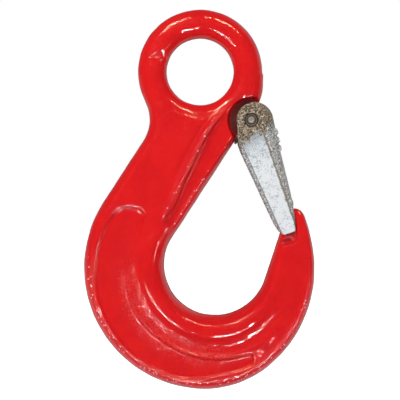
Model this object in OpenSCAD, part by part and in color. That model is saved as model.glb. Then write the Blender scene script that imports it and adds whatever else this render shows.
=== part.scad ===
// Eye hook with a sprung safety latch, for 8 mm lifting chain.
// Frame: the origin is the centre of the eye, +Z is up along the load, +X is towards the hook's tip,
// and Y runs along the eye's bore and the latch pin. The hook hangs as it does in use.

/* [Eye] */
// Radius of the eye's bore, at its cylindrical land
eye_bore_r = 12.85; // [12.7:0.05:13]
// Radius of the ring's middle line
ring_mid_r = 18.2; // [18:0.1:18.4]
// Radius of the round bar that the ring is forged from
ring_bar_r = 5.6; // [5.5:0.1:5.8]

/* [Hook outline] */
// Radius of the hollow between the ring and the shank
neck_r = 14.6; // [14.4:0.1:14.8]
// Straight length of the shank's back
shank_run = 28; // [27.6:0.1:28.4]
// Radius of the back of the bowl
heel_r = 46.4; // [46:0.1:46.8]
// Radius of the bowl's underside
belly_r = 38; // [37.6:0.1:38.4]
// Radius of the outside below the tip
toe_r = 47.6; // [47.2:0.1:48]
// Radius of the outside of the tip
nib_r = 57; // [56:0.5:58]
// Straight length of the throat's edge on the shank
throat_run = 59; // [58.7:0.1:59.3]
// Radius of the saddle that the load sits in
saddle_r = 19.3; // [19.1:0.1:19.5]

/* [Hook sections] */
// Width of the round bead along the saddle
bead_w = 7.9; // [7.5:0.1:8.3]
// Distance from the saddle to the outer side of the web's valley
valley_out = 15.9; // [15.5:0.1:16.3]
// Half the thickness left at the floor of the sunk panel
panel_half = 5.5; // [5.3:0.1:5.7]
// Steps between two measured sections of the forging
loft_steps = 5; // [3:1:5]

/* [Latch seat] */
// Place of the latch pin across from the eye's centre
pin_x = 19.4; // [19.3:0.05:19.5]
// Place of the latch pin up from the eye's centre
pin_z = -18.9; // [-19:0.05:-18.8]
// Radius of the latch pin, which is pressed into the hook
pin_r = 2.42; // [2.4:0.01:2.44]
// Half the thickness of the lug that carries the pin
lug_half = 2.2; // [2:0.1:2.3]
// Radius of the lug's round end
lug_r = 5.3; // [5:0.1:5.4]
// Radius of the deep pocket round the pin, where the spring's coils sit
pocket_r = 8.8; // [8.6:0.1:9]
// Radius of the shallow seat round the pin, where the latch's cheeks turn
seat_r = 9.9; // [9.8:0.1:10]
// Half the thickness left where the latch's cheeks pass the hook
seat_half = 4.9; // [4.8:0.05:4.95]

/* [Latch] */
// Half the width inside the latch's cheeks
cheek_in = 5.3; // [5.25:0.05:5.35]
// Half the width outside the latch's cheeks
cheek_out = 7.1; // [7:0.05:7.2]
// Running clearance of the cheeks on the pin
pin_gap = 0.07; // [0.05:0.01:0.09]
// Lean of the latch from the vertical when it is shut
latch_lean = 19; // [18.8:0.1:19.2]
// Radius of the latch's round head
head_r = 7.15; // [7:0.05:7.3]
// Thickness of the latch's back
back_wall = 1.9; // [1.7:0.1:2]
// Distance from the pin to the end of the latch's back
back_end = 36.8; // [36.4:0.1:36.9]
// Distance between the grip ridges on the latch's back
grip_pitch = 3.15; // [3:0.05:3.3]

/* [Spring] */
// Diameter of the spring's wire
wire_d = 1.1; // [0.9:0.1:1.1]
// Radius of the coils, to the middle of the wire
coil_r = 3.3; // [3.2:0.05:3.4]

/* [Hidden] */
red_paint = [0.85, 0.10, 0.10];
zinc = [0.78, 0.79, 0.80];
dark_steel = [0.36, 0.33, 0.32];
facets = 96;
past = 4; // how far a cut runs past the metal
pin_at = [pin_x, 0, pin_z];

// ---- runs of tangent arcs ----
// A move is [0, length] for a straight or [radius, degrees] for an arc; a minus radius turns right.
function move_length(m) = m[0] == 0 ? m[1] : abs(m[0]) * m[1] * PI / 180;
function move_turn(m) = m[0] == 0 ? 0 : sign(m[0]) * m[1];
function left_of(heading) = [-sin(heading), cos(heading)];
function after_move(p, heading, m) =
    m[0] == 0
        ? p + m[1] * [cos(heading), sin(heading)]
        : p + m[0] * (left_of(heading) - left_of(heading + move_turn(m)));
function part_of(m, f) = [m[0], m[1] * f];
// Point at a given length along a run of moves
function along(p, heading, moves, s, i = 0) =
    let (m = moves[i], size = move_length(m))
    s <= size || i == len(moves) - 1
        ? after_move(p, heading, part_of(m, s / size))
        : along(after_move(p, heading, m), heading + move_turn(m), moves, s - size, i + 1);

// Catmull-Rom curve through rows of numbers, at row t
function row_at(rows, i) = rows[max(0, min(len(rows) - 1, i))];
function through(rows, t) =
    let (
        i = min(floor(t), len(rows) - 2), f = t - i,
        a = row_at(rows, i - 1), b = row_at(rows, i), c = row_at(rows, i + 1), d = row_at(rows, i + 2)
    )
    b + f * (c - a) / 2 + f * f * (a - 2.5 * b + 2 * c - d / 2) + f * f * f * (1.5 * (b - c) + (d - a) / 2);
function smooth(f) = let (g = max(0, min(1, f))) g * g * (3 - 2 * g);
function unit(v) = v / norm(v);

// Skin over a list of closed rings that have the same number of points, with flat ends
module skin(rings) {
    n = len(rings[0]);
    last = len(rings) - 1;
    polyhedron(
        points = [for (ring = rings, p = ring) p],
        faces = concat(
            [[for (i = [0:n - 1]) i]],
            [for (r = [0:last - 1], i = [0:n - 1])
                [r * n + i, (r + 1) * n + i, (r + 1) * n + (i + 1) % n, r * n + (i + 1) % n]],
            [[for (i = [n - 1:-1:0]) last * n + i]]
        )
    );
}

// Round bar along Y, centred in x and z on the origin
module along_y(r, from, to) {
    translate([0, to, 0]) rotate([90, 0, 0]) cylinder(r = r, h = to - from, $fn = facets);
}

// The same cut in both faces of the hook, from a given half thickness outwards
module both_faces(from) {
    for (side = [0, 1]) mirror([0, side, 0]) translate([0, from + 2 * past, 0]) rotate([90, 0, 0])
        linear_extrude(height = 2 * past) children();
}

// ---- hook_body: the forging's outlines, both run from the ring to the tip ----
outer_start = [-22.2, -5.6];
outer_heading = -80;
outer_moves = [
    [0, 4.9], [5, 16.6], [-neck_r, 59.6], [0, shank_run], [heel_r, 122.5],
    [belly_r, 37.2], [toe_r, 53.4], [nib_r, 21.1], [4.8, 79.8]
];
inner_start = [24.3, -1];
inner_heading = -93;
inner_moves = [
    [0, 5], [-16, 30], [0, throat_run], [saddle_r, 114.1], [20.1, 80.6], [0, 27.6]
];

// Sections of the forging, from the ring to the tip: length along the inner outline, length along the
// outer one, half thickness at the inner bead, half thickness at the outer rim, middle of the web's
// valley or of the rib beside the latch seat, depth of the valley, height of the rib, depth of the
// groove behind the rib.
sections = [
    [0, 0, 5.3, 5.3, 12, 0, 0, 0],
    [9, 5, 5.5, 5.5, 11.5, 0, 0, 0],
    [17, 9.5, 6.2, 5.8, 11.7, 0, 0.6, 0.3],
    [25, 14, 6.6, 6.1, 12, 0, 0.7, 0.7],
    [34, 19.5, 6.9, 6.4, 11.1, 0, 0.7, 0.7],
    [49, 30, 7.3, 6.6, 9, 0, 0.6, 0.2],
    [63, 43, 7.7, 6.6, 7.1, 0, 0.3, 0],
    [73.4, 58, 8.1, 6.5, 10.8, 0.7, 0, 0],
    [83, 76, 8.4, 6.4, 12.2, 1.5, 0, 0],
    [92, 97, 8.6, 6.3, 12.2, 1.7, 0, 0],
    [103, 123, 8.7, 6.3, 12.2, 1.7, 0, 0],
    [114, 149, 8.6, 6.3, 12.2, 1.6, 0, 0],
    [126, 172, 8.3, 6.4, 12.2, 1.2, 0, 0],
    [139, 199, 7.7, 6.4, 12.2, 0.4, 0, 0],
    [151, 218.5, 7.1, 6.2, 12.2, 0, 0, 0],
    [159.5, 231, 6.7, 6.0, 12.2, 0, 0, 0],
    [164.5, 239, 6.2, 5.6, 12.2, 0, 0, 0],
    [166.7, 243.5, 4.8, 4.2, 12.2, 0, 0, 0]
];

// How thick the seat along the throat's edge lets the forging be, at a length and a distance from the edge
seat_from = 12;
seat_to = 69.4;
function seat_limit(s, v) = seat_half + max(0, seat_from - s, s + 0.74 * v - seat_to);

// Half of one section, as [distance from the inner edge, half thickness] pairs
bowl_steps = [bead_w - 12.2, -2.2, 0, 2.2, valley_out - 12.2, valley_out - 10.9];
rib_steps = [-1.5, -0.9, 0.3, 1.4, 2.6, 4];
valley_form = [0, 0.7, 1, 0.7, 0.1, 0];
rib_form = [0, 1, 1, 0.3, 0, 0];
groove_form = [0, 0, 0, 0, 1, 0];
function half_section(s, depth, bead, rim, middle, valley, rib, groove) =
    let (
        k = min(1, depth / 27), seat = smooth((74 - s) / 8),
        web = [for (i = [0:5]) (middle + bowl_steps[i] + seat * (rib_steps[i] - bowl_steps[i])) * k],
        drop = valley * valley_form - rib * rib_form + groove * groove_form,
        in_r = min(6.2 * k, web[0] - 0.5), out_r = 4 * k,
        mid = (web[5] + depth - out_r) / 2,
        face = function (v) bead + (rim - bead) * smooth(v / depth),
        seated = function (v, half) [v, min(half, seat_limit(s, v))]
    )
    concat(
        [for (a = [0:15:90]) seated(in_r * (1 - cos(a)), face(0) * sin(a))],
        [seated(web[0], face(web[0]))],
        [for (i = [1:5]) [web[i], face(web[i]) - drop[i]]],
        [[mid, face(mid)]],
        [for (a = [90:-15:0]) [depth - out_r * (1 - cos(a)), rim * sin(a)]]
    );

function section_ring(row) =
    let (
        p = along(inner_start, inner_heading, inner_moves, row[0]),
        q = along(outer_start, outer_heading, outer_moves, row[1]),
        across = unit(q - p),
        half = half_section(row[0], norm(q - p), row[2], row[3], row[4], row[5], row[6], row[7]),
        n = len(half)
    )
    concat(
        [for (h = half) let (c = p + h[0] * across) [c[0], -h[1], c[1]]],
        [for (i = [n - 2:-1:1]) let (c = p + half[i][0] * across) [c[0], half[i][1], c[1]]]
    );

module forging() {
    count = (len(sections) - 1) * loft_steps;
    difference() {
        skin([for (i = [0:count]) section_ring(through(sections, i / loft_steps))]);
        along_y(ring_mid_r, -2 * past, 2 * past);
    }
}

module ring() {
    rotate([90, 0, 0]) rotate_extrude($fn = facets)
        translate([ring_mid_r, 0]) circle(r = ring_bar_r, $fn = 48);
}

saddle_from = move_length(inner_moves[0]) + move_length(inner_moves[1]) + throat_run;
saddle_heading = inner_heading + move_turn(inner_moves[1]);
saddle_at = along(inner_start, inner_heading, inner_moves, saddle_from)
    + saddle_r * left_of(saddle_heading);
// Sunk panel round the bowl: angle and radius of its inner wall, then of its outer wall, all about
// the centre of the saddle
panel_rows = [
    [144, 35.3, 147, 40],
    [146, 33, 151, 42],
    [157, 31.3, 161, 43.4],
    [172, 32, 174, 44.4],
    [190, 34.3, 190, 45.2],
    [208, 35.6, 208, 45.5],
    [238, 35.4, 238, 45.1],
    [256, 35.9, 256, 43.8],
    [272, 36.3, 272, 41.3],
    [289, 36.6, 288, 40.2],
    [292, 37.4, 291, 39.4]
];
panel_steps = 3;
module panel() {
    rows = [for (i = [0:(len(panel_rows) - 1) * panel_steps]) through(panel_rows, i / panel_steps)];
    last = len(rows) - 1;
    translate(saddle_at) polygon(concat(
        [for (row = rows) row[1] * [cos(row[0]), sin(row[0])]],
        [for (i = [last:-1:0]) rows[i][3] * [cos(rows[i][2]), sin(rows[i][2])]]
    ));
}

// Seat in the tip's faces, where the shut latch's nose lies
module nose_seat() {
    polygon([
        [35.4, -48], [36.9, -61], [37.1, -63.6], [36, -65.1], [34, -65.8], [26, -67.1], [20, -60], [28, -48]
    ]);
}

module hook_body() {
    color(red_paint) difference() {
        union() {
            difference() {
                union() {
                    forging();
                    ring();
                }
                translate(pin_at) both_faces(lug_half) circle(r = pocket_r, $fn = facets);
                translate(pin_at) both_faces(seat_half) circle(r = seat_r, $fn = facets);
                both_faces(seat_half) nose_seat();
                both_faces(panel_half) panel();
            }
            translate(pin_at) along_y(lug_r, -lug_half, lug_half);
        }
        along_y(eye_bore_r, -2 * past, 2 * past);
        translate(pin_at) along_y(pin_r, -past, past);
    }
}

// ---- latch ----
// The latch's own frame: the pin is the origin, a runs down the latch and b out to its back.
head_at = [0.6, 1.4];
// Below the head: distance down, front edge, back edge, depth and half width of the back's round
latch_rows = [
    [0.6, -5.75, 8.55, 4.6, 5.4],
    [4.4, -7, 8.2, 5.2, 6.8],
    [8.2, -7.5, 7.75, 4.75, 6.8],
    [14, -7.05, 7, 4, 6],
    [22, -6.2, 6.2, 3.2, 5],
    [30, -5.4, 5.4, 2.4, 4],
    [36.5, -4.7, 4.5, 1.5, 3],
    [41, -4.1, 3.5, 1, 1.6],
    [44, -3.2, 2.6, 0.8, 1],
    [45.5, -1.8, 1.8, 0.6, 0.8]
];
head_rows = [
    for (u = [14:19:71])
        let (half = head_r * sin(u))
        [head_at[0] - head_r * cos(u), head_at[1] - half, head_at[1] + half, half * 0.6, 5.4 * sin(u)]
];
nose_steps = 3;
tooth_from = 8.3; // distance down to the drop of the first grip tooth
tooth_run = 2.5;
tooth_rise = 0.55;
tooth_half = 4.2; // half the width of the teeth and of the lip
lip_at = 35.1; // distance down to the lip near the end of the latch's back
lip_rise = 0.35;
mouth = -12; // past the front edges of the cheeks
// How far out the latch's back is, at a distance down from the pin
function back_at(a) = lookup(a, [for (row = latch_rows) [row[0], row[2]]]);

// Corner of a section: from the flat cheek at half width w to the back at b
function round_back(b, w, depth, half) =
    [for (u = [0:15:90]) [b - depth * (1 - sin(u)), w - half * (1 - cos(u))]];
function mirror_half(half) = concat(half, [for (i = [len(half) - 1:-1:0]) [half[i][0], -half[i][1]]]);
function place(a, pts) = [for (p = pts) [p[0], p[1], -a]];
edge_break = 0.8;
function outer_latch(row) =
    let (cut = min(edge_break, (row[2] - row[1]) / 5))
    place(row[0], mirror_half(concat(
        [[row[1], cheek_out - cut], [row[1] + cut, cheek_out]],
        round_back(row[2], cheek_out, row[3], row[4])
    )));
function inner_latch(row) =
    let (b = row[2] - back_wall, depth = max(0.4, row[3] - back_wall))
    place(row[0], mirror_half(concat(
        [[mouth, cheek_in]], round_back(b, cheek_in, depth, max(0.4, min(cheek_in, row[4]) - 1.2))
    )));

module in_latch_frame() {
    translate(pin_at) rotate([0, -latch_lean, 0]) children();
}

module latch() {
    below = [for (i = [0:(len(latch_rows) - 1) * nose_steps]) through(latch_rows, i / nose_steps)];
    above = [-9, 0, 8.55, 4.6, 5.4];
    beyond = [50, 0, 1.2, 0.6, 0.8];
    color(zinc) difference() {
        in_latch_frame() union() {
            skin([for (row = concat(head_rows, below)) outer_latch(row)]);
            for (i = [0:2]) tooth(tooth_from + i * grip_pitch, tooth_run, tooth_rise);
            tooth(lip_at, 1, lip_rise);
        }
        in_latch_frame() skin([for (row = concat([above], below, [beyond])) inner_latch(row)]);
        translate(pin_at) {
            nose_slot();
            along_y(pin_r + pin_gap, -2 * cheek_out, 2 * cheek_out);
        }
    }
}

// Beyond the back's round end only the cheeks go on, and the hook's tip stands between them
module nose_slot() {
    difference() {
        along_y(2 * back_end, -cheek_in, cheek_in);
        along_y(back_end, -cheek_out, cheek_out);
    }
}

// Saw tooth across the latch's back: it rises from a - length and drops at a
module tooth(a, length, height) {
    from = back_at(a - length);
    to = back_at(a);
    along_latch() polygon([
        [from, length - a], [to + height, 0.3 - a], [to + height - 0.15, -a], [to - 1.2, -a],
        [from - 1.2, length - a]
    ]);
}
module along_latch() {
    translate([0, tooth_half, 0]) rotate([90, 0, 0]) linear_extrude(height = 2 * tooth_half) children();
}

// ---- latch_pin: pressed into the lug, with a chamfer, a groove and a punched dimple at each end ----
module latch_pin() {
    end = cheek_out - 0.1;
    chamfer = 0.35;
    groove_r = 1.6;
    dimple_r = 0.6;
    half = [
        [dimple_r - 0.3, end - 0.3], [dimple_r, end], [groove_r - 0.3, end], [groove_r - 0.1, end - 0.3],
        [groove_r + 0.1, end - 0.3], [groove_r + 0.2, end], [pin_r - chamfer, end], [pin_r, end - chamfer]
    ];
    last = len(half) - 1;
    color(dark_steel) translate(pin_at) rotate([90, 0, 0]) rotate_extrude($fn = facets)
        polygon(concat(
            [[0, end - 0.3]], half, [for (i = [last:-1:0]) [half[i][0], -half[i][1]]], [[0, 0.3 - end]]
        ));
}

// ---- latch_spring: one wire with a coil beside each cheek, measured from the pin ----
wire_out = 4.5; // half width at the free ends and where each coil starts
wire_in = 2.95; // half width where each coil ends beside the lug
free_at = latch_lean; // angle at which the free leg leaves its coil, so that it lies along the latch
held_at = 164; // angle at which the held leg leaves, after one full turn more
free_run = 12;
held_run = 8.3;
bend_r = 1.2;
function around(u) = [cos(u), 0, sin(u)];
function onward(u) = [-sin(u), 0, cos(u)];
function leg(u, run, y) = coil_r * around(u) + run * onward(u) + [0, y, 0];
coil_span = held_at + 360 - free_at;
coil_parts = 22;
half_wire = concat(
    [for (f = [0:0.5:1]) leg(free_at, (f - 1) * free_run, wire_out)],
    [for (i = [1:coil_parts]) let (f = i / coil_parts)
        leg(free_at + f * coil_span, 0, wire_out + f * (wire_in - wire_out))],
    [leg(held_at, held_run / 2, wire_in)],
    [for (u = [0:22.5:90]) leg(held_at, held_run + bend_r * sin(u), wire_in - bend_r * (1 - cos(u)))]
);

// Round wire through a list of points, its rings turned as little as the bends allow
module wire(points, d, sides = 8) {
    last = len(points) - 1;
    heads = [for (i = [0:last]) unit(points[min(last, i + 1)] - points[max(0, i - 1)])];
    function level(v, t) = unit(v - (v * t) * t);
    ups = [for (i = 0, v = level([0, 1, 0], heads[0]); i <= last;
        i = i + 1, v = level(v, heads[min(last, i)])) v];
    function rim(i, u) = points[i] + d / 2 * (cos(u) * ups[i] + sin(u) * cross(heads[i], ups[i]));
    skin([for (i = [0:last]) [for (k = [0:sides - 1]) rim(i, 360 * k / sides)]]);
}

module latch_spring() {
    last = len(half_wire) - 1;
    color(dark_steel) translate(pin_at)
        wire(concat(half_wire, [for (i = [last:-1:0]) let (p = half_wire[i]) [p[0], -p[1], p[2]]]), wire_d);
}

hook_body();
latch();
latch_pin();
latch_spring();
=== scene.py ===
import math

import bpy
import numpy as np
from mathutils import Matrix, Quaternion, Vector, noise
from mathutils.bvhtree import BVHTree
from mathutils.kdtree import KDTree


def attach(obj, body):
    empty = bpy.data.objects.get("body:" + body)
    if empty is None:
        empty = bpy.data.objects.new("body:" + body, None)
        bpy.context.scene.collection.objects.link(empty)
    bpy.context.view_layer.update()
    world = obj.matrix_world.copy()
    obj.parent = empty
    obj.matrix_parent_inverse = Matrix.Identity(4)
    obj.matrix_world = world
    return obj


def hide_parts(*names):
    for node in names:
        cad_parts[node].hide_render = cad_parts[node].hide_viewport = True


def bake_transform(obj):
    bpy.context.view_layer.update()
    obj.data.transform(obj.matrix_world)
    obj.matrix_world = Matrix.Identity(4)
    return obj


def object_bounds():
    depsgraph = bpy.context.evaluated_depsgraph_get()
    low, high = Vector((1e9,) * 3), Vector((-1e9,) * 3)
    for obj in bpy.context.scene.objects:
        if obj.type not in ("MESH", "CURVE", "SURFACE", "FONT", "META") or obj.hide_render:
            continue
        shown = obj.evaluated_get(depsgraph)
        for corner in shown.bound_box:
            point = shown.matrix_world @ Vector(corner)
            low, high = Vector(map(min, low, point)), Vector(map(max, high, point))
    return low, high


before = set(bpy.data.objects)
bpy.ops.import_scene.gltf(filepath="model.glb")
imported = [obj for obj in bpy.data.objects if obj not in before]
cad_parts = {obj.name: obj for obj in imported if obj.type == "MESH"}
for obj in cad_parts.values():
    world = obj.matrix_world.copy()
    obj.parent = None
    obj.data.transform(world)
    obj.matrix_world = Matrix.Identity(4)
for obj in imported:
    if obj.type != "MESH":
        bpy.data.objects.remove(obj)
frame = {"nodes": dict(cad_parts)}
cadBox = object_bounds()
mm = 0.001
print("frame loaded:", ", ".join(frame["nodes"]))

# The camera is settled by these points in the photograph's 400 x 400 frame.
imagePoints = {
    "objectLeft": 84.0,
    "objectRight": 314.0,
    "objectTop": 10.0,
    "objectBottom": 389.0,
    "eyeCentre": (200.1, 71.9),
    "latchPin": (250.7, 121.3),
    "latchEnd": (284.3, 234.8),
    "saddleFloor": (215.0, 315.5),
    "ringDent": [(147.0, 57.0), (163.0, 48.5), (165.0, 58.5)],
    "noseDent": [(283.5, 240.5), (290.0, 238.5), (291.5, 240.0), (285.0, 242.0)],
}
camera = {"frame": 400, "lens": 120.0, "sensor": 36.0}


def makeCamera():
    # level with the object, far enough for its width to span its two image points
    low, high = cadBox
    size = camera["frame"]
    perPixel = (high.x - low.x) / (imagePoints["objectRight"] - imagePoints["objectLeft"])
    eyeX, eyeY = imagePoints["eyeCentre"]
    data = bpy.data.cameras.new("photoCamera")
    data.lens, data.sensor_width, data.sensor_fit = camera["lens"], camera["sensor"], "AUTO"
    holder = bpy.data.objects.new("photoCamera", data)
    bpy.context.scene.collection.objects.link(holder)
    holder.location = (
        (size / 2 - eyeX) * perPixel,
        -size * camera["lens"] / camera["sensor"] * perPixel,
        (eyeY - size / 2) * perPixel,
    )
    holder.rotation_euler = (math.pi / 2, 0, 0)
    bpy.context.scene.camera = holder
    return holder


photoCamera = makeCamera()
print("camera placed")


# Helpers for all meshes.
def makeMesh(name, verts, faces):
    mesh = bpy.data.meshes.new(name)
    mesh.from_pydata([tuple(v) for v in np.asarray(verts) * mm], [], [tuple(f) for f in faces])
    piece = bpy.data.objects.new(name, mesh)
    bpy.context.scene.collection.objects.link(piece)
    return piece


def skin(name, rings, closed=False):
    # closed rings of equal length, joined in turn; open skins get flat ends
    rings = np.asarray(rings)
    count, size = rings.shape[:2]
    faces = []
    for r in range(count if closed else count - 1):
        for i in range(size):
            j, s = (i + 1) % size, (r + 1) % count
            faces.append((r * size + i, s * size + i, s * size + j, r * size + j))
    if not closed:
        faces.append(tuple(range(size)))
        faces.append(tuple((count - 1) * size + i for i in reversed(range(size))))
    piece = makeMesh(name, rings.reshape(-1, 3), faces)
    outwards(piece)
    return piece


def outwards(piece):
    # turns a closed mesh's faces to the outside
    mesh = piece.data
    mesh.calc_loop_triangles()
    tris = np.array([t.vertices for t in mesh.loop_triangles])
    points = np.array([v.co for v in mesh.vertices])
    a, b, c = points[tris[:, 0]], points[tris[:, 1]], points[tris[:, 2]]
    if np.einsum("ij,ij->i", a, np.cross(b, c)).sum() < 0:
        mesh.flip_normals()


def fullTurn(parts):
    return np.linspace(0, 2 * np.pi, parts, endpoint=False)


def aboutLine(centre, radius, y, u):
    # the place at a radius and an angle about a line along Y
    return centre[0] + radius * np.cos(u), y, centre[1] + radius * np.sin(u)


def lathe(name, centre, profile, parts=96):
    # profile of (radius, y) pairs turned about a line along Y
    rings = [[aboutLine(centre, r, y, u) for r, y in profile] for u in fullTurn(parts)]
    return skin(name, rings, closed=True)


def disc(name, centre, radius, low, high, parts=96):
    return skin(name, [[aboutLine(centre, radius, y, u) for u in fullTurn(parts)] for y in (low, high)])


def plate(name, corners, low, high):
    return skin(name, [[(x, y, z) for x, z in corners] for y in (low, high)])


def combine(piece, other, how):
    # DIFFERENCE or UNION, with the other piece used up
    cut = piece.modifiers.new("cut", "BOOLEAN")
    cut.operation, cut.solver, cut.object = how, "MANIFOLD", other
    bake(piece)
    bpy.data.objects.remove(other)


def bake(piece):
    graph = bpy.context.evaluated_depsgraph_get()
    made = bpy.data.meshes.new_from_object(piece.evaluated_get(graph))
    piece.modifiers.clear()
    piece.data = made


def soften(piece, voxel, rounds):
    # one even skin over all that was combined, its edges rounded as by dies and thick paint
    remesh = piece.modifiers.new("remesh", "REMESH")
    remesh.mode, remesh.voxel_size, remesh.adaptivity = "VOXEL", voxel * mm, 0
    smooth = piece.modifiers.new("smooth", "SMOOTH")
    smooth.factor, smooth.iterations = 0.5, rounds
    bake(piece)
    shadeSmooth(piece)


def shadeSmooth(piece):
    for face in piece.data.polygons:
        face.use_smooth = True


# The hook follows the same outlines and sections as the part's source.
def outline(start, heading, moves, step=0.1):
    # dense points along tangent straights (0, length) and arcs (radius, degrees);
    # a minus radius turns right
    place, angle = np.array(start, float), math.radians(heading)
    points, lengths = [place], [0.0]
    for radius, size in moves:
        run = size if radius == 0 else abs(radius) * math.radians(size)
        turn = 0 if radius == 0 else math.copysign(math.radians(size), radius)
        before = lengths[-1]
        for part in np.linspace(0, 1, math.ceil(run / step) + 1)[1:]:
            if radius == 0:
                moved = np.array([math.cos(angle), math.sin(angle)]) * size * part
            else:
                now = angle + turn * part
                east, north = math.sin(now) - math.sin(angle), math.cos(angle) - math.cos(now)
                moved = radius * np.array([east, north])
            points.append(place + moved)
            lengths.append(before + run * part)
        place, angle = points[-1], angle + turn
    return np.array(lengths), np.array(points)


def pointAt(line, length):
    lengths, points = line
    return np.array([np.interp(length, lengths, column) for column in points.T])


def through(rows, t):
    # Catmull-Rom curve through rows of numbers
    i = min(int(t), len(rows) - 2)
    f = t - i
    a, b, c, d = (rows[max(0, min(len(rows) - 1, k))] for k in (i - 1, i, i + 1, i + 2))
    bend, twist = a - 2.5 * b + 2 * c - d / 2, 1.5 * (b - c) + (d - a) / 2
    return b + f * (c - a) / 2 + f * f * bend + f**3 * twist


def fineRows(rows, steps):
    # the curve through the rows, with this many steps from each to the next
    rows = np.array(rows, float)
    return [through(rows, t) for t in np.linspace(0, len(rows) - 1, (len(rows) - 1) * steps + 1)]


def smooth01(f):
    g = np.clip(f, 0, 1)
    return g * g * (3 - 2 * g)


def between(value, first, full, still, last):
    # 0 outside first to last, 1 from full to still, smooth between
    return smooth01((value - first) / (full - first)) * smooth01((last - value) / (last - still))


def quarterRound(f):
    # from 0 to 1 along a quarter circle
    return np.sqrt(np.clip(1 - np.clip(1 - f, 0, 1) ** 2, 0, 1))


hook = {
    "outerStart": (-22.2, -5.6),
    "outerHeading": -80,
    "outerMoves": [
        (0, 4.9), (5, 16.6), (-14.6, 59.6), (0, 28), (46.4, 122.5),
        (38, 37.2), (47.6, 53.4), (57, 21.1), (4.8, 79.8),
    ],
    "innerStart": (24.3, -1),
    "innerHeading": -93,
    "innerMoves": [(0, 5), (-16, 30), (0, 59), (19.3, 114.1), (20.1, 80.6), (0, 27.6)],
    # inner length, outer length, half thickness at bead and rim, middle of the valley or rib,
    # depth of the valley, height of the rib, depth of the groove behind the rib
    "sections": [
        [0, 0, 5.3, 5.3, 12, 0, 0, 0],
        [9, 5, 5.5, 5.5, 11.5, 0, 0, 0],
        [17, 9.5, 6.2, 5.8, 11.7, 0, 0.6, 0.3],
        [25, 14, 6.6, 6.1, 12, 0, 0.7, 0.7],
        [34, 19.5, 6.9, 6.4, 11.1, 0, 0.7, 0.7],
        [49, 30, 7.3, 6.6, 9, 0, 0.6, 0.2],
        [63, 43, 7.7, 6.6, 7.1, 0, 0.3, 0],
        [73.4, 58, 8.1, 6.5, 10.8, 0.7, 0, 0],
        [83, 76, 8.4, 6.4, 12.2, 1.5, 0, 0],
        [92, 97, 8.6, 6.3, 12.2, 1.7, 0, 0],
        [103, 123, 8.7, 6.3, 12.2, 1.7, 0, 0],
        [114, 149, 8.6, 6.3, 12.2, 1.6, 0, 0],
        [126, 172, 8.3, 6.4, 12.2, 1.2, 0, 0],
        [139, 199, 7.7, 6.4, 12.2, 0.4, 0, 0],
        [151, 218.5, 7.1, 6.2, 12.2, 0, 0, 0],
        [159.5, 231, 6.7, 6.0, 12.2, 0, 0, 0],
        [164.5, 239, 6.2, 5.6, 12.2, 0, 0, 0],
        [166.7, 243.5, 4.8, 4.2, 12.2, 0, 0, 0],
    ],
    # steps across a section from that middle, in the bowl and beside the seat, and what lies at each
    "bowlSteps": (-4.3, -2.2, 0, 2.2, 3.7, 5),
    "ribSteps": (-1.5, -0.9, 0.3, 1.4, 2.6, 4),
    "valleyForm": (0, 0.7, 1, 0.7, 0.1, 0),
    "ribForm": (0, 1, 1, 0.3, 0, 0),
    "grooveForm": (0, 0, 0, 0, 1, 0),
    # the inner length from which the bowl's steps are full, and the run before it that blends them in
    "bowlFrom": 74,
    "bowlBlend": 8,
    # radii of a section's rounds, how far the inner one stops short of the web at least, and the
    # depth of section under which rounds and steps are drawn in
    "innerRound": 6.2,
    "outerRound": 4,
    "roundToWeb": 0.5,
    "fullDepth": 27,
    # the flat beside the throat: its run along the inner outline, its half thickness, how its far end
    # leans, and how steeply it rises to the web
    "seatFrom": 12,
    "seatTo": 69.4,
    "seatHalf": 4.9,
    "seatLean": 0.74,
    "seatRise": 5,
    "seatCentre": (19.4, -18.9),
    "seatRadius": 9.9,
    "pocketRadius": 8.8,
    "lugHalf": 2.2,
    "lugRadius": 5.3,
    "eyeRadius": 12.85,
    "ringMiddle": 18.2,
    "ringBar": 5.6,
    "noseSeat": [
        (35.4, -48), (36.9, -61), (37.1, -63.6), (36, -65.1),
        (34, -65.8), (26, -67.1), (20, -60), (28, -48),
    ],
    "cutReach": 14,  # half thickness that every cut runs out to
    "stepsPerRow": 14,
    "edgeColumns": 14,
    "faceColumns": 90,
    "barSides": 64,
    "ringParts": 192,
    "voxel": 0.49,
    "rounds": 5,
}
panel = {
    "half": 5.5,
    "saddleCentre": (5.53, -73.86),
    # angle and radius of the inner wall, then of the outer wall, about the saddle's centre
    "rows": [
        [144, 35.3, 147, 40],
        [146, 33, 151, 42],
        [157, 31.3, 161, 43.4],
        [172, 32, 174, 44.4],
        [190, 34.3, 190, 45.2],
        [208, 35.6, 208, 45.5],
        [238, 35.4, 238, 45.1],
        [256, 35.9, 256, 43.8],
        [272, 36.3, 272, 41.3],
        [289, 36.6, 288, 40.2],
        [292, 37.4, 291, 39.4],
    ],
    "stepsPerRow": 6,
    "draft": 1.5,
    "edge": 0.22,
    # skin that it can change: radii about the saddle's centre, and from what half thickness
    "within": (29, 48),
    "faceFrom": 4,
}
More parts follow.
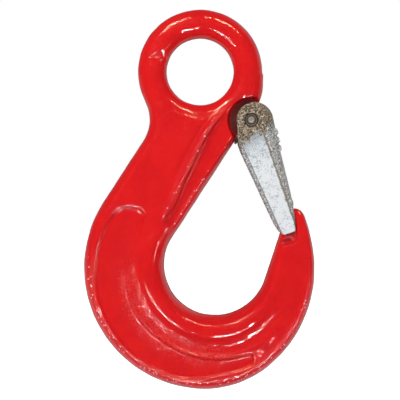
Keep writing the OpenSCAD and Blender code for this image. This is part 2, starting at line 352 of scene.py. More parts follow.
# waves as features per millimetre and height
forged = {"waves": ((0.22, 0.09), (0.5, 0.035)), "seed": 7.3}
seatRound = {
    # radii about the seat's centre, and the run past them over which the round fades
    "from": 8.85,
    "to": 12,
    "fade": 3,
    # half thickness at the outer radius, and how it falls inwards with the square of the distance
    "crest": 5.6,
    "fall": 0.0644,
    "turn": (62, 80, 135, 158),  # angles over which it comes and goes
    "faceFrom": 4.6,  # the half thickness from which skin can change
    "pastSeat": 0.3,  # further than this from the seat's wall it takes metal off but adds none
}
rough = {
    # each line of wear: from and to along its outline, how far in from it the line starts, how that
    # changes with each millimetre along, and the line's width
    "outerEdge": (60, 215, 2.2, 0, 1.2),
    "throatEdge": (35, 80, 2.2, 0, 0.7),
    "rib": (18, 74, 12, -0.097, 0.7),
    "fade": 14,  # the run over which wear comes and goes at a line's ends
    "everyNth": 4,  # point of the outline, which is enough to measure from
    # radii and angles about the saddle's centre over which the valley's scale comes and goes
    "valley": (28.5, 31, 34, 43),
    "valleyTurn": (140, 215, 260, 300),
}
# for each dent's outline among the image points: depth, width of the edge, height of the lip thrown
# up round it as a part of the depth, and how much painted shade lies in it
dents = {"ringDent": (0.34, 0.6, 0.5, 0), "noseDent": (1.3, 1.2, 0, 1)}
dentReach = 8  # how far from its middle a dent can move the skin
dentInside = {}  # the vertices that each dent pressed in


def halfThickness(s, depth, bead, rim, middle, valley, rib, groove, v):
    # at distances v in from the throat, on the section that leaves it at inner length s
    k = min(1, depth / hook["fullDepth"])
    bowl = np.array(hook["bowlSteps"])
    seat = smooth01((hook["bowlFrom"] - s) / hook["bowlBlend"])
    web = (middle + bowl + seat * (np.array(hook["ribSteps"]) - bowl)) * k
    drop = valley * np.array(hook["valleyForm"]) - rib * np.array(hook["ribForm"])
    drop += groove * np.array(hook["grooveForm"])
    inner, outer = min(hook["innerRound"] * k, web[0] - hook["roundToWeb"]), hook["outerRound"] * k
    half = bead + (rim - bead) * smooth01(v / depth) - np.interp(v, web, drop)
    half *= quarterRound(v / inner)
    half *= quarterRound((depth - v) / outer)
    run = np.maximum(0, np.maximum(hook["seatFrom"] - s, s + hook["seatLean"] * v - hook["seatTo"]))
    limit = hook["seatHalf"] + run + hook["seatRise"] * np.maximum(0, v - web[0])
    return np.minimum(half, limit)


def hookRing(row, innerLine, outerLine):
    # one section, from the throat along the front to the outer edge and along the back again
    p, q = pointAt(innerLine, row[0]), pointAt(outerLine, row[1])
    depth = np.linalg.norm(q - p)
    across = (q - p) / depth
    turn = np.linspace(0, np.pi / 2, hook["edgeColumns"])
    k = min(1, depth / hook["fullDepth"])
    near = hook["innerRound"] * k * (1 - np.cos(turn))
    far = depth - hook["outerRound"] * k * (1 - np.cos(turn[::-1]))
    v = np.concatenate([near, np.linspace(near[-1], far[0], hook["faceColumns"])[1:-1], far])
    half = halfThickness(row[0], depth, *row[2:], v)
    half[0] = half[-1] = 0
    flat = p + np.outer(v, across)
    front = np.column_stack([flat[:, 0], -half, flat[:, 1]])
    back = np.column_stack([flat[:, 0], half, flat[:, 1]])[-2:0:-1]
    return np.vstack([front, back])


def bothFaces(piece, make, low):
    # the same cut in each face, from a half thickness outwards
    for side in (-1, 1):
        combine(piece, make(*sorted((side * low, side * hook["cutReach"]))), "DIFFERENCE")


def polar(centre, angle, radius):
    u = math.radians(angle)
    return [centre[0] + radius * math.cos(u), centre[1] + radius * math.sin(u)]


def aboutCentre(points, centre):
    # distance from a centre and angle round it, of each point seen from the front
    x, z = (points[:, [0, 2]] - centre).T
    return np.hypot(x, z), np.degrees(np.arctan2(z, x)) % 360


def pastLoop(spots, loop):
    # distance of each spot from a closed loop, with a minus sign inside it
    start, run = loop, np.roll(loop, -1, axis=0) - loop
    away = spots[:, None, :] - start
    along = np.clip((away * run).sum(2) / (run**2).sum(1), 0, 1)
    nearest = np.linalg.norm(away - along[..., None] * run, axis=2).min(1)
    crosses = (start[:, 1] > spots[:, None, 1]) != (start[:, 1] + run[:, 1] > spots[:, None, 1])
    rise = np.where(run[:, 1] == 0, 1, run[:, 1])
    inside = (crosses & (away[..., 0] < away[..., 1] / rise * run[:, 0])).sum(1) % 2 == 1
    return np.where(inside, -nearest, nearest)


def sinkPanel(points):
    # a flat floor in both faces, its walls at a draft and their edges eased
    rows = fineRows(panel["rows"], panel["stepsPerRow"])
    loop = [polar(panel["saddleCentre"], *row[:2]) for row in rows]
    loop += [polar(panel["saddleCentre"], *row[2:]) for row in reversed(rows)]
    away = aboutCentre(points, panel["saddleCentre"])[0]
    low, high = panel["within"]
    near = np.flatnonzero((np.abs(points[:, 1]) > panel["faceFrom"]) & (away > low) & (away < high))
    past = pastLoop(points[near][:, [0, 2]], np.array(loop))
    limit = panel["half"] + panel["draft"] * np.maximum(0, past)
    half, edge = np.abs(points[near, 1]), panel["edge"]
    eased = (half + limit - np.sqrt((half - limit) ** 2 + edge**2)) / 2
    points[near, 1] = np.sign(points[near, 1]) * np.minimum(half, eased)


def mark(mesh, name, values):
    mesh.attributes.new(name, "FLOAT", "POINT").data.foreach_set("value", values)


def onSurface(tree, x, y):
    # where the line of sight through an image point meets a piece
    size, data = camera["frame"], photoCamera.data
    aim = Vector((
        x - size / 2 + data.shift_x * size,
        size / 2 - y + data.shift_y * size,
        -size * data.lens / data.sensor_width,
    ))
    start, towards = photoCamera.location, photoCamera.matrix_basis.to_3x3() @ aim.normalized()
    place = tree.ray_cast(start, towards)[0]
    if place is None:
        place = tree.find_nearest(start - towards * start.y / towards.y)[0]
    return place / mm


def pressDents(mesh, points):
    # small marks knocked into the hot metal, their outlines sighted through the photograph
    tree = BVHTree.FromPolygons([v.co for v in mesh.vertices], [f.vertices for f in mesh.polygons])
    shade = np.zeros(len(points))
    for name, (depth, edge, lip, dark) in dents.items():
        loop = np.array([onSurface(tree, x, y).xz for x, y in imagePoints[name]])
        away = aboutCentre(points, loop.mean(0))[0]
        near = np.flatnonzero((points[:, 1] < 0) & (away < dentReach))
        past = pastLoop(points[near][:, [0, 2]], loop)
        sunk = smooth01(0.5 - past / edge)
        points[near, 1] += depth * (sunk - lip * np.exp(-(((past - edge / 2) / edge) ** 2)))
        # painted shade in the dent's hollow
        shade[near] = np.maximum(shade[near], sunk * dark)
        dentInside[name] = near[sunk > 0.5]
    mark(mesh, "shade", shade)


def roundSeat(points):
    # between the ring and the latch's seat the edge is one broad round, which catches the light
    away, angle = aboutCentre(points, hook["seatCentre"])
    end, thick = seatRound["to"] + seatRound["fade"], np.abs(points[:, 1]) > seatRound["faceFrom"]
    near = np.flatnonzero((away > seatRound["from"]) & (away < end) & thick)
    away, angle, half = away[near], angle[near], np.abs(points[near, 1])
    limit = seatRound["crest"] - seatRound["fall"] * np.maximum(0, seatRound["to"] - away) ** 2
    pastSeat = away > hook["seatRadius"] + seatRound["pastSeat"]
    limit = np.where(pastSeat, np.minimum(half, limit), limit)
    part = between(angle, *seatRound["turn"]) * smooth01((end - away) / seatRound["fade"])
    points[near, 1] = np.sign(points[near, 1]) * (half + part * (limit - half))


def valleyScale(points):
    # scale lies in the valley beside the bead, down its left and round its foot
    away, angle = aboutCentre(points, panel["saddleCentre"])
    return between(away, *rough["valley"]) * between(angle, *rough["valleyTurn"])


def edgeWear(points, innerLine, outerLine):
    # where scale and flash leave the skin rough: inside the outer edge, along the throat and the rib
    wear = np.zeros(len(points))
    for (lengths, spots), (low, high, off, lean, width) in (
        (outerLine, rough["outerEdge"]),
        (innerLine, rough["throatEdge"]),
        (innerLine, rough["rib"]),
    ):
        chosen = np.flatnonzero((lengths > low) & (lengths < high))[:: rough["everyNth"]]
        tree = KDTree(len(chosen))
        for i in chosen:
            tree.insert((spots[i][0], 0, spots[i][1]), i)
        tree.balance()
        found = [tree.find((x, 0, z))[1:] for x, y, z in points]
        along, near = lengths[[i for i, away in found]], np.array([away for i, away in found])
        part = between(along, low, low + rough["fade"], high - rough["fade"], high)
        across = (near - off - lean * (along - low)) / width
        wear = np.maximum(wear, part * np.exp(-(across**2)))
    return wear


def forge(piece, innerLine, outerLine):
    # panel, broad round and dents, then the slight waves that hammer, scale and thick paint leave
    mesh = piece.data
    points = np.empty(len(mesh.vertices) * 3)
    mesh.vertices.foreach_get("co", points)
    points = points.reshape(-1, 3) / mm
    sinkPanel(points)
    roundSeat(points)
    pressDents(mesh, points)
    mesh.vertices.foreach_set("co", (points * mm).ravel())
    mesh.update()
    normals = np.empty(len(mesh.vertices) * 3)
    mesh.vertices.foreach_get("normal", normals)
    lift = np.zeros(len(points))
    for scale, height in forged["waves"]:
        places = [Vector(p) for p in points * scale + forged["seed"]]
        lift += height * np.array([noise.noise(place) for place in places])
    points += lift[:, None] * normals.reshape(-1, 3)
    mesh.vertices.foreach_set("co", (points * mm).ravel())
    mark(mesh, "wear", edgeWear(points, innerLine, outerLine))
    mark(mesh, "valley", valleyScale(points))
    mesh.update()


def makeHook():
    innerLine = outline(hook["innerStart"], hook["innerHeading"], hook["innerMoves"])
    outerLine = outline(hook["outerStart"], hook["outerHeading"], hook["outerMoves"])
    rows = fineRows(hook["sections"], hook["stepsPerRow"])
    piece = skin("hook", [hookRing(row, innerLine, outerLine) for row in rows])
    reach, parts = hook["cutReach"], hook["ringParts"]
    combine(piece, disc("inside", (0, 0), hook["ringMiddle"], -reach, reach, parts), "DIFFERENCE")
    sides = 360 / hook["barSides"] * np.arange(hook["barSides"])
    bar = [polar((hook["ringMiddle"], 0), angle, hook["ringBar"]) for angle in sides]
    combine(piece, lathe("ring", (0, 0), bar, parts), "UNION")
    seat, pocket = hook["seatCentre"], hook["pocketRadius"]
    bothFaces(piece, lambda a, b: disc("pocket", seat, pocket, a, b), hook["lugHalf"])
    bothFaces(piece, lambda a, b: disc("seat", seat, hook["seatRadius"], a, b), hook["seatHalf"])
    bothFaces(piece, lambda a, b: plate("noseSeat", hook["noseSeat"], a, b), hook["seatHalf"])
    combine(piece, disc("lug", seat, hook["lugRadius"], -hook["lugHalf"], hook["lugHalf"]), "UNION")
    combine(piece, disc("eye", (0, 0), hook["eyeRadius"], -reach, reach, parts), "DIFFERENCE")
    soften(piece, hook["voxel"], hook["rounds"])
    forge(piece, innerLine, outerLine)
    return piece


hookPiece = makeHook()
print("hook made:", len(hookPiece.data.vertices), "vertices")


# The latch is a cast channel. Its own axes run a down from the pin and b out to its back.
latch = {
    "pin": hook["seatCentre"],
    "lean": 19,
    "cheekIn": 5.3,
    "cheekOut": 7.1,
    # the head's centre in a and b, its radius, the angles of its sections, and its back's round as a
    # part of its half width and as a half width of its own
    "headCentre": (0.6, 1.4),
    "headRadius": 7.15,
    "headAngles": (12, 90, 6),
    "headDepth": 0.6,
    "headHalf": 5.4,
    # distance down, front edge, back edge, depth and half width of the back's round
    "rows": [
        [0.6, -5.75, 8.55, 4.6, 5.4],
        [4.4, -7, 8.2, 5.2, 6.8],
        [8.2, -7.5, 7.75, 4.75, 6.8],
        [14, -7.05, 7, 4, 6],
        [22, -6.2, 6.2, 3.2, 5],
        [30, -5.4, 5.4, 2.4, 4],
        [36.5, -4.7, 4.5, 1.5, 3],
        [41, -4.1, 3.5, 1, 1.6],
        [44, -3.2, 2.6, 0.8, 1],
        [45.5, -1.8, 1.8, 0.6, 0.8],
    ],
    "stepsPerRow": 8,
    "backSteps": 13,
    # the hollow: its open side, the back's wall, what its round keeps inside the outer one, and the
    # rows that carry it out past both ends
    "openFront": -12,
    "backWall": 1.9,
    "roundWall": 1.2,
    "leastRound": 0.4,
    "hollowAbove": [-9, 0, 8.55, 4.6, 5.4],
    "hollowBelow": [50, 0, 1.2, 0.6, 0.8],
    # the slot for the hook's nose, from the back's end on
    "backEnd": 36.8,
    "slotReach": 60,
    # broken edge at the front, along b and in y, at most a fifth of the channel's width
    "edgeBreak": (1.1, 0.55),
    "mostBreak": 5,
    "boreRadius": 2.5,
    "boreReach": 20,
    # ridges across the back: where each ends, and its crest as steps up from that end and outwards
    "toothAt": (8.3, 11.45, 14.6),
    "toothLength": 2.5,
    "toothHeight": 0.55,
    "toothCrest": ((1.4, 0.12), (0.2, 0)),
    "toothRoot": 1,
    "toothHalf": 4.6,
    "lipAt": 34.6,
    "lipHeight": 0.4,
    "lipLength": 0.7,
    "voxel": 0.24,
    "rounds": 2,
}


def latchToHook(points):
    # from (b, y, a) in the latch's own axes to the frame's
    lean = math.radians(latch["lean"])
    b, y, a = np.asarray(points, float).T
    x = latch["pin"][0] + a * math.sin(lean) + b * math.cos(lean)
    z = latch["pin"][1] - a * math.cos(lean) + b * math.sin(lean)
    return np.column_stack([x, y, z])


def mirrored(half):
    return [*half, *[(b, -y) for b, y in reversed(half)]]


def latchSkin(name, sections):
    # sections of (distance down, list of (b, y) pairs)
    return skin(name, [latchToHook([(b, y, a) for b, y in pairs]) for a, pairs in sections])


def roundBack(b, y, depth, half):
    # a quarter round from the cheek at y to the back at b
    turn = np.linspace(0, np.pi / 2, latch["backSteps"])
    return [(b - depth * (1 - math.sin(u)), y - half * (1 - math.cos(u))) for u in turn]


def outerSection(row):
    a, front, back, depth, half = row
    lip = latch["lipHeight"] * math.exp(-(((a - latch["lipAt"]) / latch["lipLength"]) ** 2))
    inset, drop = (min(size, (back - front) / latch["mostBreak"]) for size in latch["edgeBreak"])
    y = latch["cheekOut"]
    return a, mirrored([(front, y - drop), (front + inset, y), *roundBack(back + lip, y, depth, half)])


def innerSection(row):
    a, front, back, depth, half = row
    y, wall, least = latch["cheekIn"], latch["backWall"], latch["leastRound"]
    size = max(least, depth - wall), max(least, min(y, half) - latch["roundWall"])
    return a, mirrored([(latch["openFront"], y), *roundBack(back - wall, y, *size)])


def latchHead():
    # sections round the head, down to the first row
    head = []
    (a, b), radius = latch["headCentre"], latch["headRadius"]
    for u in np.radians(np.arange(*latch["headAngles"])):
        half = radius * math.sin(u)
        depth, width = half * latch["headDepth"], latch["headHalf"] * math.sin(u)
        head.append([a - radius * math.cos(u), b - half, b + half, depth, width])
    return head


def makeTooth(end):
    start, rows = end - latch["toothLength"], np.array(latch["rows"])
    first, last = np.interp([start, end], rows[:, 0], rows[:, 2])
    crest = [(end - up, last + latch["toothHeight"] + out) for up, out in latch["toothCrest"]]
    root = latch["toothRoot"]
    tooth = [(start, first - root), (start, first), *crest, (end, last - root)]
    sides = [[(b, y, a) for a, b in tooth] for y in (-latch["toothHalf"], latch["toothHalf"])]
    return skin("tooth", [latchToHook(side) for side in sides])


def makeLatch():
    below = fineRows(latch["rows"], latch["stepsPerRow"])
    piece = latchSkin("latchShell", [outerSection(row) for row in [*latchHead(), *below]])
    for end in latch["toothAt"]:
        combine(piece, makeTooth(end), "UNION")
    hollow = [latch["hollowAbove"], *below, latch["hollowBelow"]]
    combine(piece, latchSkin("hollow", [innerSection(row) for row in hollow]), "DIFFERENCE")
    near, far, y = latch["backEnd"], latch["slotReach"], latch["cheekIn"]
    slot = lathe("noseSlot", latch["pin"], [(near, -y), (far, -y), (far, y), (near, y)])
    combine(piece, slot, "DIFFERENCE")
    reach = latch["boreReach"]
    combine(piece, disc("bore", latch["pin"], latch["boreRadius"], -reach, reach), "DIFFERENCE")
    soften(piece, latch["voxel"], latch["rounds"])
    return piece


latchPiece = makeLatch()
print("latch made:", len(latchPiece.data.vertices), "vertices")

# The pin is pressed, with a punched centre and a rolled groove in each end.
pin = {
    "end": 7.0,
    # radius and depth under the end: punch mark, boss, groove, rim and chamfer
    "profile": [
        (0.22, 0.35), (0.4, 0.04), (1.15, 0.03), (1.35, 0.12), (1.65, 0.3),
        (1.85, 0.3), (2.12, 0), (2.3, 0.08), (2.42, 0.4),
    ],
    "parts": 72,
}


def makePin():
    profile = [(r, depth - pin["end"]) for r, depth in pin["profile"]]
    profile += [(r, -y) for r, y in reversed(profile)]
    piece = skin("pinTurned", [
        [aboutLine(latch["pin"], r, y, u) for u in fullTurn(pin["parts"])] for r, y in profile
    ])
    shadeSmooth(piece)
    return piece


pinPiece = makePin()

# The spring is one wire, a coil beside each cheek, made in two halves that meet in the bail's middle.
# The outer legs are free and go with the latch; the inner ones are held and stay with the hook.
spring = {
    "wire": 1.1,
    "coil": 3.3,  # radius of the wire's middle line
    "outer": 4.5,
    "inner": 2.95,
    "freeRun": 12,
    "heldAt": 164,  # degrees, after one whole turn
    "heldRun": 8.3,
    "bend": 1.2,
    "sides": 12,
    # places along the free leg, the coil, the held leg and its bend
    "freePlaces": (0, 0.3, 0.6, 0.9),
    "coilPlaces": 67,
    "heldPlaces": (0.2, 0.5, 0.9),
    "bendAngles": (0, 91, 9),
}


def springPath():
    start, end = math.radians(latch["lean"]), math.radians(spring["heldAt"] + 360)
    coil, outer, inner = spring["coil"], spring["outer"], spring["inner"]

    def leg(u, run, y):
        x, z = coil * math.cos(u) - run * math.sin(u), coil * math.sin(u) + run * math.cos(u)
        return np.array([latch["pin"][0] + x, y, latch["pin"][1] + z])

    path = [leg(start, -spring["freeRun"] * (1 - f), outer) for f in spring["freePlaces"]]
    for f in np.linspace(0, 1, spring["coilPlaces"]):
        path.append(leg(start + f * (end - start), 0, outer + f * (inner - outer)))
    path += [leg(end, spring["heldRun"] * f, inner) for f in spring["heldPlaces"]]
    for u in np.radians(np.arange(*spring["bendAngles"])):
        run = spring["heldRun"] + spring["bend"] * math.sin(u)
        path.append(leg(end, run, inner - spring["bend"] * (1 - math.cos(u))))
    path.append(path[-1] * [1, 0, 1])
    return path


def makeWire(name, path):
    # a round wire whose rings turn as little as its bends allow
    path = np.array(path)
    heads = np.gradient(path, axis=0)
    heads /= np.linalg.norm(heads, axis=1)[:, None]
    up, rings = np.array([0.0, 1.0, 0.0]), []
    turn = fullTurn(spring["sides"])
    for place, head in zip(path, heads):
        up = up - head * (up @ head)
        up /= np.linalg.norm(up)
        circle = np.outer(np.cos(turn), up) + np.outer(np.sin(turn), np.cross(head, up))
        rings.append(place + spring["wire"] / 2 * circle)
    piece = skin(name, rings)
    shadeSmooth(piece)
    return piece


wirePath = springPath()
springHalves = []
for side, name in ((1, "springFar"), (-1, "springNear")):
    half = makeWire(name, [point * [1, side, 1] for point in wirePath])
    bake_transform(half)
    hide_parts("latch_spring")
    springHalves.append(half)
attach(hookPiece, "hook")
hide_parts("hook_body")
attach(latchPiece, "latch")
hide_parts("latch")
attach(pinPiece, "hook")
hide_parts("latch_pin")
print("pin and spring made")


class Wire:
    # an output of a node; expressions on wires add Math nodes
    def __init__(self, tree, socket=None):
        self.tree, self.socket = tree, socket

    def node(self, kind, settings=None, sockets=None, out=0):
        # any node: its settings first, then the values or links of its sockets
        made = self.tree.nodes.new(kind)
        for key, value in (settings or {}).items():
            if key == "stops":
                ramp = made.color_ramp.elements
                while len(ramp) < len(value):
                    ramp.new(0.5)
                for stop, (place, colour) in zip(ramp, value):
                    stop.position, stop.color = place, (*colour, 1)
            else:
                setattr(made, key, value)
        for key, value in (sockets or {}).items():
            if isinstance(value, Wire):
                self.tree.links.new(value.socket, made.inputs[key])
            else:
                made.inputs[key].default_value = value
        return Wire(self.tree, made.outputs[out]) if len(made.outputs) else made

    def maths(self, operation, first, second=0.0):
        return self.node("ShaderNodeMath", {"operation": operation}, {0: first, 1: second})

    def __add__(self, other):
        return self.maths("ADD", self, other)

    __radd__ = __add__

    def __sub__(self, other):
        return self.maths("SUBTRACT", self, other)

    def __rsub__(self, other):
        return self.maths("SUBTRACT", other, self)

    def __mul__(self, other):
        return self.maths("MULTIPLY", self, other)

    __rmul__ = __mul__

    def rise(self, low, high):
        # 0 below low, 1 above high, smooth between; a high under low falls instead
        flip = high < low
        sockets = {"Value": self, "From Min": min(low, high), "From Max": max(low, high)}
        made = self.node("ShaderNodeMapRange", {"interpolation_type": "SMOOTHSTEP"}, sockets)
        return 1 - made if flip else made

    def nearZero(self, inside, outside):
        # 1 where this is within inside of zero, 0 where it is past outside
        return self.maths("ABSOLUTE", self).rise(outside, inside)

    def noise(self, scale, detail, roughness):
        # scale is in features per millimetre
        sockets = {"Vector": self, "Scale": scale, "Detail": detail, "Roughness": roughness}
        return self.node("ShaderNodeTexNoise", {}, sockets)

    def wander(self, size):
        # a noise's swing about its middle, brought to this size
        return (self - 0.5) * size

    def vectorMaths(self, operation, other, out=0):
        return self.node("ShaderNodeVectorMath", {"operation": operation}, {0: self, 1: other}, out)

    def along(self, direction):
        return self.vectorMaths("DOT_PRODUCT", direction, out=1)

    def awayFrom(self, place):
        # this place measured from an (x, z) one
        return self.vectorMaths("SUBTRACT", (place[0], 0, place[1]))

    def reachFrom(self, place):
        # how far this place lies from the line along Y through an (x, z) one
        flat = self.awayFrom(place).vectorMaths("MULTIPLY", (1, 0, 1))
        return flat.vectorMaths("LENGTH", (0, 0, 0), out=1)

    def blendColours(self, first, second):
        # this wire is the factor
        return self.node("ShaderNodeMix", {"data_type": "RGBA"}, {0: self, 6: first, 7: second}, out=2)

    def ramp(self, stops):
        return self.node("ShaderNodeValToRGB", {"stops": stops}, {0: self})


def emptyTree(owner):
    # a wire to start from in the cleared nodes of a material or world
    owner.use_nodes = True
    for old in list(owner.node_tree.nodes):
        owner.node_tree.nodes.remove(old)
    return Wire(owner.node_tree)


def startMaterial(name):
    # the material, its empty tree, and the place on the piece in millimetres
    material = bpy.data.materials.new(name)
    base = emptyTree(material)
    place = base.node("ShaderNodeTexCoord", out=3)  # object coordinates
    spot = base.node("ShaderNodeVectorMath", {"operation": "SCALE"}, {0: place, "Scale": 1 / mm})
    return material, base, spot


def finishMaterial(base, sockets, bumps):
    # bumps are (height, strength, distance in millimetres), laid one on the other
    normal = None
    for height, strength, distance in bumps:
        links = {"Height": height, "Strength": strength, "Distance": distance * mm}
        if normal:
            links["Normal"] = normal
        normal = base.node("ShaderNodeBump", {}, links)
    if normal:
        sockets["Normal"] = normal
    shader = base.node("ShaderNodeBsdfPrincipled", {}, sockets)
    base.node("ShaderNodeOutputMaterial", {}, {"Surface": shader})


paint = {
    "colour": (0.75, 0.012, 0.013, 1),
    "deep": (0.69, 0.010, 0.013, 1),
    "shade": (0.2, 0.002, 0.006, 1),
    "nibGlint": (0.95, 0.68, 0.68, 1),
    "grimeAndShade": (0.03, 0.006, 0.005, 1),
    # noises as features per millimetre, detail and roughness
    "cloud": (0.12, 3, 0.5),
    "wave": (0.3, 2, 0.5),
    "peel": (0.9, 2, 0.5),
    "spark": (1.3, 2, 0.6),
    "patch": (0.8, 3, 0.6),
    "cloudRise": (0.3, 0.7),
    "patchRise": (0.49, 0.56),
    # nibs of dried paint, their pale colour a painted highlight for their glints: how close they stand,
    # how small they are, and the wear that brings them
    "nibsPerMm": 0.75,
    "nibFall": (0.26, 0.16),
    "nibWear": (0.5, 0.8),
    # grime and painted shade in the pocket: the half thickness it lies under, its reach from the pin,
    # how its edge wanders and fades, and how strong it is
    "pocketFace": (5.0, 4.6),
    "grimeAndShadeReach": 9.1,
    "grimeAndShadeWander": 3,
    "grimeAndShadeFade": 1.6,
    "grimeAndShadeMost": 0.85,
    # roughness of the gloss, what patches, grime and scale add to it, and where the scale lies
    "gloss": 0.07,
    "patchDull": 0.07,
    "grimeDull": 0.5,
    "scaleDull": 0.3,
    "scaleRise": (0.4, 0.6),
    "scaleInValley": 0.5,
    # how high each one stands, in millimetres
    "waveHeight": 0.2,
    "peelHeight": 0.09,
    "scaleHeight": 0.4,
    "nibHeight": 0.15,
}


def redPaint():
    # thick gloss over a forged skin; the valley beside the bead has scale under it and shines less
    material, base, spot = startMaterial("redPaint")
    cloud, wave, peel, spark, patch = (
        spot.noise(*paint[name]) for name in ("cloud", "wave", "peel", "spark", "patch")
    )
    wear, valley, shade = (
        base.node("ShaderNodeAttribute", {"attribute_name": name}, out=2)
        for name in ("wear", "valley", "shade")
    )
    across = base.node("ShaderNodeSeparateXYZ", {}, {0: spot}, out=1)
    # grime and painted shade darken the pocket round the pin
    pocket = base.maths("ABSOLUTE", across).rise(*paint["pocketFace"])
    edge = spot.reachFrom(latch["pin"]) + peel.wander(paint["grimeAndShadeWander"])
    grimeAndShade = pocket * edge.rise(paint["grimeAndShadeReach"], paint["grimeAndShadeReach"] - paint["grimeAndShadeFade"])
    grimeAndShade = grimeAndShade * paint["grimeAndShadeMost"]
    nibGlint = base.node("ShaderNodeTexVoronoi", {}, {"Vector": spot, "Scale": paint["nibsPerMm"]})
    nibGlint = nibGlint.rise(*paint["nibFall"]) * wear.rise(*paint["nibWear"])
    red = cloud.rise(*paint["cloudRise"]).blendColours(paint["deep"], paint["colour"])
    # painted shade in the nose dent
    red = shade.blendColours(red, paint["shade"])
    # pale dots on the nibs: painted highlight
    red = nibGlint.blendColours(red, paint["nibGlint"])
    dull = patch.rise(*paint["patchRise"]) * paint["patchDull"] + grimeAndShade * paint["grimeDull"]
    dull = dull + valley * spark.rise(*paint["scaleRise"]) * paint["scaleDull"]
    scale = spark * (wear + valley * paint["scaleInValley"])
    finishMaterial(
        base,
        {"Base Color": grimeAndShade.blendColours(red, paint["grimeAndShade"]), "Roughness": paint["gloss"] + dull},
        [
            (wave, 1.0, paint["waveHeight"]),
            (peel, 1.0, paint["peelHeight"]),
            (scale, 1.0, paint["scaleHeight"]),
            (nibGlint, 1.0, paint["nibHeight"]),
        ],
    )
    return material


zinc = {
    "face": (0.83, 0.86, 0.90, 1),
    "greyer": (0.66, 0.71, 0.76, 1),
    "speck": (0.38, 0.46, 0.52, 1),
    "strip": (0.17, 0.16, 0.15, 1),
    "stripPale": (0.70, 0.73, 0.75, 1),
    "crease": (0.16, 0.115, 0.07, 1),
    "shadowDark": (0.012, 0.010, 0.008, 1),
    "headStops": [
        (0.37, (0.02, 0.016, 0.012)),
        (0.46, (0.14, 0.10, 0.06)),
        (0.55, (0.33, 0.24, 0.15)),
        (0.65, (0.75, 0.72, 0.66)),
    ],
    "spineStops": [
        (0.36, (0.10, 0.08, 0.06)),
        (0.45, (0.28, 0.25, 0.21)),
        (0.53, (0.45, 0.48, 0.50)),
        (0.63, (0.86, 0.88, 0.90)),
    ],
    # noises as features per millimetre, detail and roughness
    "fine": (1.9, 2, 0.6),
    "coarse": (0.45, 3, 0.6),
    "grain": (3.2, 1, 0.5),
    # the share of fine in the grit, the rest being grain, and shares of all three in the specks
    "gritFine": 0.7,
    "specks": (0.3, 0.35, 0.35),
    "speckRise": (0.53, 0.585),
    "speckMost": 0.9,
    # more specks and a greyer face towards the head, by the distance down from the pin
    "moreSpecks": 0.06,
    "speckFall": (20, 8),
    "greyFall": (20, 4),
    "greyWander": 8,
    # the strip of painted shade along the front edge, measured in from that edge, and the dark line of
    # painted shade that ends it
    "frontEdge": 8.3,
    "frontSlope": 0.103,
    "stripWidth": 1.2,
    "stripTaper": 0.012,
    "stripWander": 0.5,
    "stripFade": 0.15,
    "stripRise": (0.44, 0.56),
    "stripLine": (0.1, 0.32),
    "stripLineMost": 0.7,
    # the speckled back, darkened as painted shade, by the distance out from the pin, and the crease of
    # painted shade before it
    "spineFrom": 2.8,
    "spineWander": 0.9,
    "spineFade": 0.3,
    "creaseLine": (0.15, 0.55),
    "creaseWander": 0.8,
    "creaseMost": 0.8,
    # the brown head, painted shadow along the nose's end, and painted shadow of the gap round the pin
    "headFall": (8.5, 4),
    "headWander": (9, 7),
    "headLean": 0.25,
    "noseLine": 45.1,
    "noseWander": 0.8,
    "noseFade": 0.15,
    "gapShadowFall": (2.8, 2.55),
    "metallic": 0.1,
    "roughness": 0.4,
    "roughSwing": 0.25,
    # strength of the bumps, and how high the coarse and the fine ones stand
    "bump": 0.5,
    "coarseHeight": 0.25,
    "fineHeight": 0.06,
}


